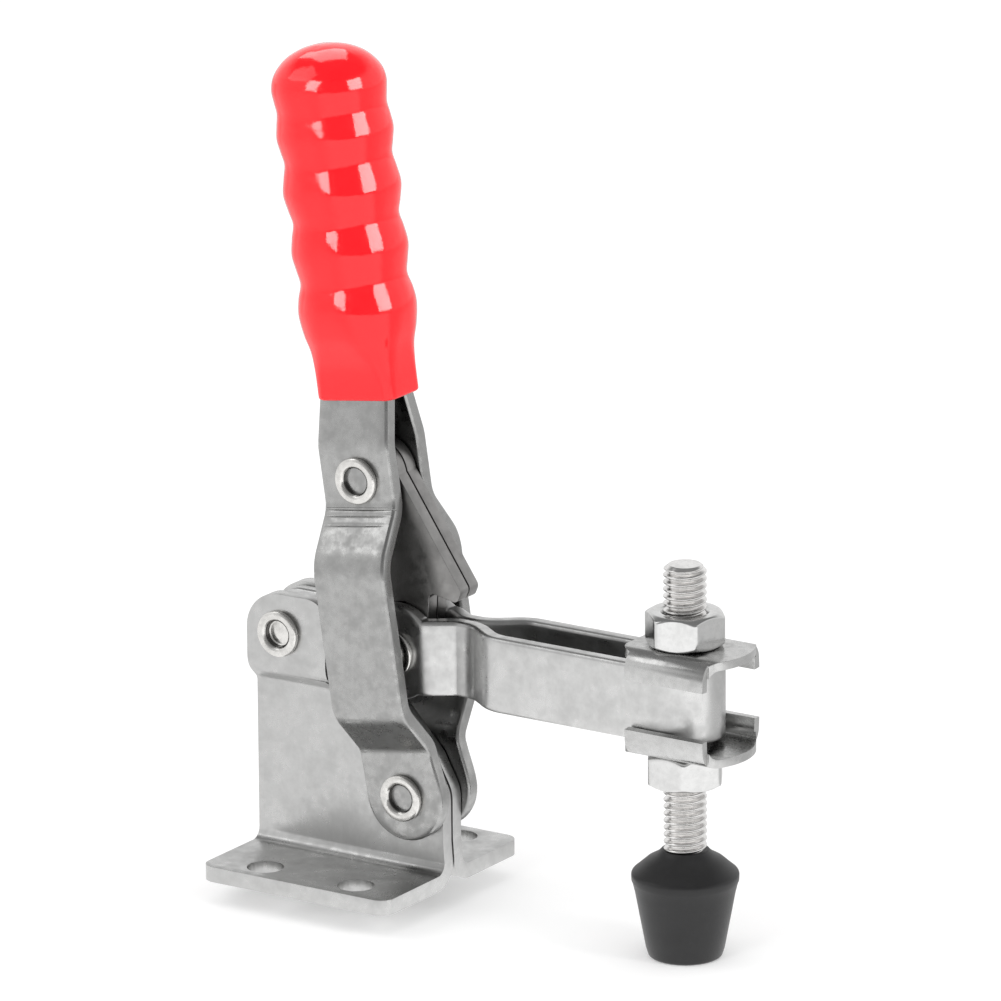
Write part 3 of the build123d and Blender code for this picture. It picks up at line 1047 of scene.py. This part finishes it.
@dataclass
class Grip:
    """Waved red grip: flat-sided mouth, near-round ribbed body and domed top."""

    foot: tuple[float, float] = (3.4, 57.8)
    lean: float = 8.0
    corner_steps: int = 22
    side_steps: int = 4
    rows: tuple[Row, ...] = (
        (11.06, 6.18, 3.72, 1.40), (11.2, 6.34, 3.88, 1.5), (11.5, 6.42, 3.97, 1.56), (13.0, 6.45, 4.0, 1.65),
        (15.5, 6.53, 4.4, 2.3), (18.0, 6.85, 5.5, 4.0), (20.5, 7.6, 6.7, 5.7), (23.3, 8.2, 7.4, 7.0),
        (25.5, 7.95, 7.15, 6.8), (27.5, 7.42, 6.72, 6.4), (29.5, 7.75, 7.0, 6.7), (31.7, 8.1, 7.34, 7.0),
        (34.0, 7.8, 7.08, 6.8), (36.0, 7.38, 6.68, 6.4), (38.0, 7.82, 7.08, 6.8), (40.2, 8.18, 7.38, 7.0),
        (42.4, 7.9, 7.12, 6.9), (44.4, 7.5, 6.78, 6.5), (46.2, 7.85, 7.05, 6.8), (48.0, 8.1, 7.34, 7.0),
        (49.8, 7.92, 7.16, 6.9), (51.5, 7.66, 6.94, 6.7), (53.2, 7.88, 7.12, 6.9), (54.8, 7.98, 7.22, 6.9),
        (56.4, 7.6, 6.88, 6.6), (57.8, 6.66, 5.94, 5.7), (59.0, 5.25, 4.65, 4.4), (59.9, 3.35, 2.95, 2.8),
        (60.33, 1.5, 1.3, 1.2))

    def place(self, s: float, u: float, v: float) -> Point:
        """Point of the grip's own frame in the clamp's frame.

        Args:
            s: distance along the grip's axis.
            u: offset forward across the axis.
            v: offset to the left.

        Returns:
            The point in millimetres.
        """
        c, n = math.cos(math.radians(self.lean)), math.sin(math.radians(self.lean))
        return (self.foot[0] + u * c - s * n, v, self.foot[1] + u * n + s * c)

    def section(self, row: Row) -> list[Point]:
        """Rounded rectangle of one row, always with the same count of points.

        Args:
            row: distance along the axis, half width, half depth and corner radius.

        Returns:
            The section's points in millimetres.
        """
        s, half_x, half_y, corner = row
        corners = [(1, 1), (-1, 1), (-1, -1), (1, -1)]
        outline: list[tuple[float, float]] = []
        for k, (sx, sy) in enumerate(corners):
            cx, cy = sx * (half_x - corner), sy * (half_y - corner)
            outline += arc((cx, cy), corner, 90 * k, 90 * k + 90, self.corner_steps)
            nx, ny = corners[(k + 1) % 4]
            middle = (nx * (half_x - corner), ny * (half_y - corner))
            after = arc(middle, corner, 90 * k + 90, 90 * k + 180, 1)[0]
            last = outline[-1]
            outline += [(last[0] + (after[0] - last[0]) * j / self.side_steps,
                         last[1] + (after[1] - last[1]) * j / self.side_steps)
                        for j in range(1, self.side_steps)]
        return [self.place(s, u, v) for u, v in outline]

    def build(self, finishes: Finishes) -> bpy.types.Object:
        """Build the grip's skin with its open mouth.

        Args:
            finishes: the clamp's finishes.

        Returns:
            The grip.
        """
        fine = spline(self.rows, 6)
        inner = [(self.rows[0][0] + 3.0, 5.5, 3.1, 0.8), (self.rows[0][0] + 0.35, 5.85, 3.45, 1.1),
                 (self.rows[0][0] + 0.02, 5.98, 3.58, 1.26)]
        rings = [self.section(row) for row in inner + fine]
        width = len(rings[0])
        points = [point for ring in rings for point in ring]
        faces: list[tuple[int, ...]] = [
            (row * width + k, row * width + (k + 1) % width, (row + 1) * width + (k + 1) % width,
             (row + 1) * width + k) for row in range(len(rings) - 1) for k in range(width)]
        top = len(points)
        points.append(self.place(fine[-1][0] + 0.05, 0.0, 0.0))
        end = (len(rings) - 1) * width
        faces += [(end + k, end + (k + 1) % width, top) for k in range(width)]
        faces.append(tuple(reversed(range(width))))
        grip = mesh_object("grip_skin", points, faces)
        dress(grip, finishes.get(finishes.grip), Body.HANDLE, "grip", ("grip",))
        return grip


@dataclass
class RubberTip:
    """Rubber tip with a coned shoulder, a rim and a tapered foot."""

    top: float = 12.0
    collar: float = 3.35
    rim_z: float = 8.9
    rim: float = 7.42
    band_z: float = 7.6
    foot: float = 5.2
    bottom: float = -3.3
    steps: int = 96

    def build(self, finishes: Finishes) -> None:
        """Turn the tip.

        Args:
            finishes: the clamp's finishes.
        """
        low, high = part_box("rubber_tip")
        cx = (low.x + high.x) / 2 / MM
        profile = [(0.0, self.top - 0.1), (2.7, self.top - 0.1), (3.0, self.top)]
        profile += arc((self.collar - 0.25, self.top - 0.3), 0.3, 80, 25, 4)
        profile += [(self.collar + 0.6, self.top - 0.75), (self.collar + 2.0, self.top - 1.55)]
        profile += arc((self.rim - 0.75, self.rim_z - 0.6), 0.75, 62, -6, 8)
        profile += [(self.rim - 0.03, self.band_z), (self.rim - 0.16, self.band_z - 0.25)]
        profile += [(self.foot + (self.rim - 0.2 - self.foot) * f,
                     self.bottom + (self.band_z - self.bottom) * f)
                    for f in (0.85, 0.6, 0.35, 0.12)]
        profile += arc((self.foot - 0.6, self.bottom + 0.6), 0.6, -10, -90, 6)
        profile += [(self.foot - 1.6, self.bottom), (0.0, self.bottom)]
        tip = lathe("rubber_tip_body", profile, self.steps,
                    lambda r, t, h: (cx + r * math.cos(t), r * math.sin(t), h))
        dress(tip, finishes.get(finishes.rubber), Body.SPINDLE, "rubber_tip", ("rubber_tip",))


@dataclass
class HandlePlates:
    """Pair of pressed handle plates with a joggle above and below."""

    pivot: tuple[float, float] = (9.95, 13.1)
    lean: float = 8.5
    sheet: float = 2.2
    rounding: float = 0.5
    tab: float = 6.3
    width: float = 11.5
    rear: float = 0.35
    top: float = 97.0
    marks: tuple[float, ...] = (40.75, 39.8, 38.65)
    line: tuple[tuple[float, float], ...] = (
        (3.55, -6.29), (3.55, 7.0), (8.8, 13.2), (8.8, 34.1), (3.7, 41.0), (3.7, 50.0), (1.15, 60.5),
        (1.15, 97.0))
    # painted shade darkening the plates' inner faces
    inner_face_shade: float = 0.45

    def span(self, along: float) -> tuple[float, float]:
        """Edges of the plate across it.

        Args:
            along: height along the plate.

        Returns:
            The rear and the front edge.
        """
        if along < 0:
            reach = math.sqrt(max(self.tab ** 2 - along ** 2, 1e-4))
            return 0.2 - reach, 0.2 + reach
        t = min(along / 7.0, 1.0)
        t = t * t * (3 - 2 * t)
        reach = self.tab + (self.width / 2 - self.tab) * t
        shift = 0.2 - 0.4 * t
        fade = max(min((56.0 - along) / 6.0, 1.0), 0.0)
        return shift - reach - self.rear * t * fade, shift + reach

    def inside(self, along: float, across: float) -> float:
        """Distance inside the plate's outline.

        Args:
            along: height along the plate.
            across: place across it.

        Returns:
            The distance in millimetres.
        """
        if along < 0:
            return self.tab - math.hypot(across - 0.2, along)
        low, high = self.span(along)
        return min(across - low, high - across, self.top - along)

    def mark(self, along: float, across: float) -> float:
        """Depth of the press marks at the upper joggle.

        Args:
            along: height along the plate.
            across: place across it.

        Returns:
            The depth in millimetres.
        """
        fade = max(min((across + 5.2) / 0.7, (4.1 - across) / 0.7, 1.0), 0.0)
        return 0.11 * fade * sum(math.exp(-((along - spot) / 0.19) ** 2) for spot in self.marks)

    def build(self, finishes: Finishes) -> None:
        """Build both plates.

        Args:
            finishes: the clamp's finishes.
        """
        extra = [-6.27, -6.2, -6.1, -5.95, -5.7, -5.4, -5.0, -4.5, -3.9, -3.2, -2.4, -1.5, -0.6, 0.0]
        extra += [38.1 + 0.09 * k for k in range(37)] + [self.top - f for f in (0.02, 0.06, 0.15, 0.3, 0.5)]
        stations = bent_line(self.line, (3.4, 4.2, 6.0, 5.0, 6.0, 6.0), 1, extra)
        c, n = math.cos(math.radians(self.lean)), math.sin(math.radians(self.lean))
        for side, name in ((1.0, "left"), (-1.0, "right")):
            outward = 1.0 if stations[0].normal[0] > 0 else -1.0
            turned = [Station(s.spot, (s.normal[0] * outward, s.normal[1] * outward), s.along)
                      for s in stations]
            sheet = BentSheet(
                turned, self.sheet, self.rounding, self.span, self.inside,
                lambda a, b, v, side=side: (self.pivot[0] + v * c - b * n, side * a,
                                            self.pivot[1] + v * n + b * c),
                self.mark, soil=lambda along: self.inner_face_shade)
            node = "handle_plate_" + name
            dress(sheet.build(node + "_pressed"), finishes.get(finishes.handle), Body.HANDLE,
                  "handle_sheet", (node,))


@dataclass
class ClampingArm:
    """Folded arm strip: tail, pocket, closed neck, fork and round nose."""

    pivot: tuple[float, float] = (-10.45, 33.6)
    eye: tuple[float, float] = (8.65, 33.9)
    sheet: float = 2.3
    rounding: float = 0.62
    tail: float = 4.2
    tail_top: float = 5.3
    eye_r: float = 6.8
    low: float = 28.3
    high: float = 39.1
    nose_x: float = 53.0
    nose_mid: float = 4.65
    line: tuple[tuple[float, float], ...] = (
        (-14.64, 1.2), (-1.5, 1.2), (1.6, 3.5), (13.6, 3.5), (16.9, 1.2), (20.4, 1.2), (25.1, 4.65),
        (53.0, 4.65))
    # painted shade darkening the strip's inner face, rising from 20 mm to 25 mm along
    slot_shade: float = 0.55

    def span(self, along: float) -> tuple[float, float]:
        """Lower and upper edge of the strip.

        Args:
            along: place along the arm.

        Returns:
            The heights of both edges.
        """
        low, high = 40.0, 20.0
        if along < self.pivot[0] + self.tail:
            reach = math.sqrt(max(self.tail ** 2 - (along - self.pivot[0]) ** 2, 1e-4))
            share = reach / self.tail if along < self.pivot[0] else 1.0
            low, high = min(low, self.pivot[1] - reach), max(high, self.pivot[1] + self.tail_top * share)
        if self.pivot[0] <= along <= self.eye[0]:
            t = max(min((along + 6.3) / 4.6, 1.0), 0.0)
            high = max(high, self.pivot[1] + self.tail_top - (self.tail_top - 0.9) * t * t * (3 - 2 * t))
            down = max((along - 0.6) / (self.eye[0] - 0.6), 0.0)
            up = max((along - 2.4) / (self.eye[0] - 2.4), 0.0)
            low = min(low, 29.5 + (self.low - 29.5) * down)
            high = max(high, 34.5 + (self.high - 34.5) * up)
        if abs(along - self.eye[0]) < self.eye_r:
            reach = math.sqrt(self.eye_r ** 2 - (along - self.eye[0]) ** 2)
            low, high = min(low, self.eye[1] - reach), max(high, self.eye[1] + reach)
        if along >= self.eye[0]:
            low, high = min(low, self.low), max(high, self.high)
        return low, high

    def inside(self, along: float, across: float) -> float:
        """Distance inside the strip's outline.

        Args:
            along: place along the arm.
            across: height.

        Returns:
            The distance in millimetres.
        """
        low, high = self.span(along)
        depth = min(across - low, high - across)
        if along < self.pivot[0]:
            rise = across - self.pivot[1]
            rise *= self.tail / self.tail_top if rise > 0 else 1.0
            depth = self.tail - math.hypot(rise, along - self.pivot[0])
        return depth

    def build(self, finishes: Finishes) -> None:
        """Build the strip as one piece round its nose.

        Args:
            finishes: the clamp's finishes.
        """
        extra = [-14.6, -14.5, -14.3, -14.0, -13.6, -13.1, -12.4, -11.6, -10.45]
        extra += [-6.0 + 0.5 * k for k in range(46)]
        side = bent_line(self.line, (2.2, 2.2, 2.6, 2.4, 5.0, 5.0), 0, extra)
        left = [Station(s.spot, s.normal, s.along) for s in side]
        nose = []
        for k in range(1, 48):
            t = math.pi / 2 - math.pi * k / 48
            nose.append(Station((self.nose_x + self.nose_mid * math.cos(t), self.nose_mid * math.sin(t)),
                                (math.cos(t), math.sin(t)), self.nose_x + self.nose_mid * math.cos(t)))
        right = [Station((s.spot[0], -s.spot[1]), (s.normal[0], -s.normal[1]), s.along)
                 for s in reversed(left)]
        sheet = BentSheet(left + nose + right, self.sheet, self.rounding, self.span, self.inside,
                          lambda a, b, v: (a, b, v), columns=10,
                          soil=lambda along: self.slot_shade * max(min((along - 20.0) / 5.0, 1.0), 0.0))
        dress(sheet.build("clamping_arm_folded"), finishes.get(finishes.arm), Body.ARM, "arm_sheet",
              ("clamping_arm",))


@dataclass
class Linkage:
    """All sheet pieces, rivets and bushes of the clamp."""

    ear_front: float = -3.7
    ear_corner: float = 3.2
    ear_foot: float = 26.0
    ear_pull: float = 0.9

    def pull_ear(self, spot: Vector) -> None:
        """Move a point of an ear's front edge forward.

        Args:
            spot: the point in metres, changed in place.
        """
        if spot.z > self.ear_foot * MM and spot.x < (self.ear_front + 0.3) * MM:
            share = (spot.x / MM - self.ear_front + self.ear_corner) / self.ear_corner
            spot.x += self.ear_pull * MM * max(min(share, 1.0), 0.0)

    def build(self, finishes: Finishes) -> None:
        """Dress the sheets, then the rivets and bushes.

        Args:
            finishes: the clamp's finishes.
        """
        for side in ("left", "right"):
            SheetPart("base_plate_" + side, Body.BASE, finishes.base, 0.42, 4, 0.2,
                      self.pull_ear).build(finishes)
            SheetPart("link_plate_" + side, Body.LINK, finishes.link, 0.5, 4, 0.16).build(finishes)
        HandlePlates().build(finishes)
        ClampingArm().build(finishes)
        RivetRow().build(finishes, (
            Rivet("arm_pivot_rivet", Body.BASE, 2.1), Rivet("handle_pivot_rivet", Body.BASE, 2.1),
            Rivet("link_handle_rivet", Body.HANDLE, 2.1), Rivet("link_arm_rivet", Body.ARM, 1.5, 1.75, 0.7)))
        for node in ("arm_pivot_bush", "handle_pivot_bush", "link_handle_bush", "link_arm_bush"):
            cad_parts[node].data.materials.clear()
            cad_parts[node].data.materials.append(finishes.get(finishes.bush))
            LOG.info("%s dressed", node)


@dataclass
class ScrewSet:
    """Screw, nuts, saddle washers and rubber tip."""

    def build(self, finishes: Finishes) -> None:
        """Build the screw set.

        Args:
            finishes: the clamp's finishes.
        """
        for node in ("upper_flanged_washer", "lower_flanged_washer"):
            SheetPart(node, Body.CARRIAGE, finishes.washer, 0.4).build(finishes)
        HexNut().build(finishes, "upper_nut", Body.UPPER_NUT, 17.0)
        HexNut().build(finishes, "lower_nut", Body.LOWER_NUT, 0.0)
        Screw().build(finishes)
        RubberTip().build(finishes)


@dataclass
class Studio:
    """Camera, floor, lamps and world."""

    azimuth: float = 33.356
    elevation: float = 16.306
    roll: float = -0.389
    pixels: float = 10000.0
    frame_width: int = 1001
    distance: float = 1369.85
    target: Point = (23.455, 0.0, 56.907)
    floor_z: float = -3.3
    floor_glow_front: float = 0.86
    floor_glow_right: float = 1.15
    floor_glow_back: float = 0.5
    wall: float = 1.0
    room: float = 0.34
    ceiling: float = 0.26
    soft: float = 0.95
    aim: Point = (15.0, 0.0, 50.0)
    lamp_height: float = 420.0
    grip_lamps: tuple[tuple[str, Point, float, float], ...] = (
        ("front_window", (-215.0, -625.0, 330.0), 330.0, 3.6),
        ("right_window", (655.0, -45.0, 330.0), 410.0, 4.8), ("top_soft", (-250.0, 250.0, 620.0), 420.0, 1.6))

    def camera(self) -> None:
        """Set the camera at the photograph's view."""
        a, p, r = (math.radians(v) for v in (self.azimuth, self.elevation, self.roll))
        ahead = Vector((-math.sin(a) * math.cos(p), math.cos(a) * math.cos(p), -math.sin(p)))
        right = Vector((math.cos(a), math.sin(a), 0.0))
        up = right.cross(ahead)
        x_axis = right * math.cos(r) + up * math.sin(r)
        y_axis = up * math.cos(r) - right * math.sin(r)
        spot = (Vector(self.target) - ahead * self.distance) * MM
        data = bpy.data.cameras.new("camera")
        data.sensor_width = 36.0
        data.lens = self.pixels / self.frame_width * 36.0
        data.clip_end = 20.0
        eye = bpy.data.objects.new("camera", data)
        eye.matrix_world = Matrix.Translation(spot) @ Matrix((x_axis, y_axis, -ahead)).transposed().to_4x4()
        bpy.context.scene.collection.objects.link(eye)
        bpy.context.scene.camera = eye

    def floor(self) -> None:
        """Lay the pale floor, white to the camera and holding the object's shadow; to mirrored rays it glows by
        place, a painted reflection for the steel.
        """
        half = 3000.0
        ground = mesh_object("floor", [(-half, -half, self.floor_z), (half, -half, self.floor_z),
                                       (half, half, self.floor_z), (-half, half, self.floor_z)],
                             [(0, 1, 2, 3)])
        material, nodes = fresh_material("floor_white")
        plain = nodes.add("ShaderNodeBsdfDiffuse", {"Color": (0.86, 0.86, 0.86, 1.0)})
        glow = nodes.add("ShaderNodeEmission", {"Color": WHITE, "Strength": 0.22})
        # painted reflection: to mirrored rays the floor glows, its strength set by place, over a dim diffuse
        place = nodes.add("ShaderNodeSeparateXYZ", {0: nodes.add("ShaderNodeTexCoord").outputs["Object"]})
        front = nodes.remap(place.outputs[0], -0.06, 0.06, self.floor_glow_front, self.floor_glow_right)
        tone = nodes.remap(place.outputs[1], 0.0, 0.06, front, self.floor_glow_back)
        sheen = nodes.add("ShaderNodeEmission", {"Color": WHITE, "Strength": tone})
        path = nodes.add("ShaderNodeLightPath")
        both = nodes.add("ShaderNodeAddShader", {0: plain.outputs[0], 1: glow.outputs[0]})
        dim = nodes.add("ShaderNodeBsdfDiffuse", {"Color": (0.22, 0.22, 0.22, 1.0)})
        mirror = nodes.add("ShaderNodeAddShader", {0: sheen.outputs[0], 1: dim.outputs[0]})
        shiny = nodes.add("ShaderNodeMixShader", {0: path.outputs["Is Glossy Ray"], 1: plain.outputs[0],
                                                  2: mirror.outputs[0]})
        mixed = nodes.add("ShaderNodeMixShader", {0: path.outputs["Is Camera Ray"], 1: shiny.outputs[0],
                                                  2: both.outputs[0]})
        nodes.add("ShaderNodeOutputMaterial", {0: mixed.outputs[0]})
        ground.data.materials.append(material)

    def lamp(self, name: str, spot: Point, aim: Point, size: tuple[float, float], watts: float,
             seen: LampRays = LampRays.ALL) -> bpy.types.Object:
        """Add a rectangular lamp.

        Args:
            name: name of the lamp.
            spot: its place in millimetres.
            aim: point that it faces.
            size: width and height in millimetres.
            watts: its power.
            seen: kinds of rays that it lights.

        Returns:
            The lamp.
        """
        data = bpy.data.lights.new(name, "AREA")
        data.shape = "RECTANGLE"
        data.size, data.size_y = size[0] * MM, size[1] * MM
        data.energy = watts
        light = bpy.data.objects.new(name, data)
        away = (Vector(spot) - Vector(aim)).normalized()
        turn = away.to_track_quat("Z", "Y").to_matrix().to_4x4()
        light.matrix_world = Matrix.Translation(Vector(spot) * MM) @ turn
        light.visible_diffuse = seen is not LampRays.MIRRORED
        light.visible_glossy = seen is not LampRays.SOFT
        bpy.context.scene.collection.objects.link(light)
        return light

    def windows(self, glossy: bpy.types.Object) -> None:
        """Add the lamps that only the glossy grip mirrors, and keep its red out of the steel.

        Args:
            glossy: the piece that they light.
        """
        receivers = bpy.data.collections.new("window_receivers")
        receivers.objects.link(glossy)
        glossy.visible_glossy = False
        for name, spot, width, watts in self.grip_lamps:
            light = self.lamp(name, spot, self.aim, (width, self.lamp_height), watts, LampRays.MIRRORED)
            light.light_linking.receiver_collection = receivers

    def world(self) -> None:
        """Surround: white to the camera, even to soft rays, pale with a dim ceiling to mirrored rays."""
        world = bpy.data.worlds.new("surround")
        world.use_nodes = True
        world.node_tree.nodes.clear()
        nodes = Nodes(world.node_tree)
        path = nodes.add("ShaderNodeLightPath")
        way = nodes.add("ShaderNodeSeparateXYZ", {0: nodes.add("ShaderNodeTexCoord").outputs["Generated"]})
        ahead = nodes.math("MULTIPLY_ADD", way.outputs[0], 0.55,
                           nodes.math("MULTIPLY", way.outputs[1], -0.835))
        back = nodes.remap(ahead, 0.2, 0.8, self.wall, self.room)
        sheen = nodes.remap(way.outputs[2], 0.42, 0.72, back, self.ceiling)
        strength = nodes.add("ShaderNodeMix", {0: path.outputs["Is Glossy Ray"], 2: self.soft, 3: sheen})
        plain = nodes.add("ShaderNodeBackground", {"Color": WHITE, "Strength": strength.outputs[0]})
        white = nodes.add("ShaderNodeBackground", {"Color": WHITE, "Strength": 1.0})
        mixed = nodes.add("ShaderNodeMixShader", {0: path.outputs["Is Camera Ray"], 1: plain.outputs[0],
                                                  2: white.outputs[0]})
        nodes.add("ShaderNodeOutputWorld", {0: mixed.outputs[0]})
        bpy.context.scene.world = world

    def build(self) -> None:
        """Set the camera, floor, lamps and world."""
        self.camera()
        self.floor()
        self.lamp("left_soft", (-420.0, -300.0, 560.0), self.aim, (330.0, 330.0), 0.45)
        self.lamp("front_fill", (15.0, -660.0, 330.0), self.aim, (120.0, 420.0), 0.75, LampRays.SOFT)
        self.lamp("right_fill", (660.0, 0.0, 330.0), self.aim, (130.0, 420.0), 0.9, LampRays.SOFT)
        self.world()
        bpy.context.scene.view_settings.view_transform = "Standard"


def main() -> None:
    """Build the studio and each sub-assembly."""
    logging.basicConfig(level=logging.INFO, format="%(name)s %(message)s")
    finishes = Finishes()
    studio = Studio()
    studio.build()
    Linkage().build(finishes)
    studio.windows(Grip().build(finishes))
    ScrewSet().build(finishes)


if __name__ == "__main__":
    main()
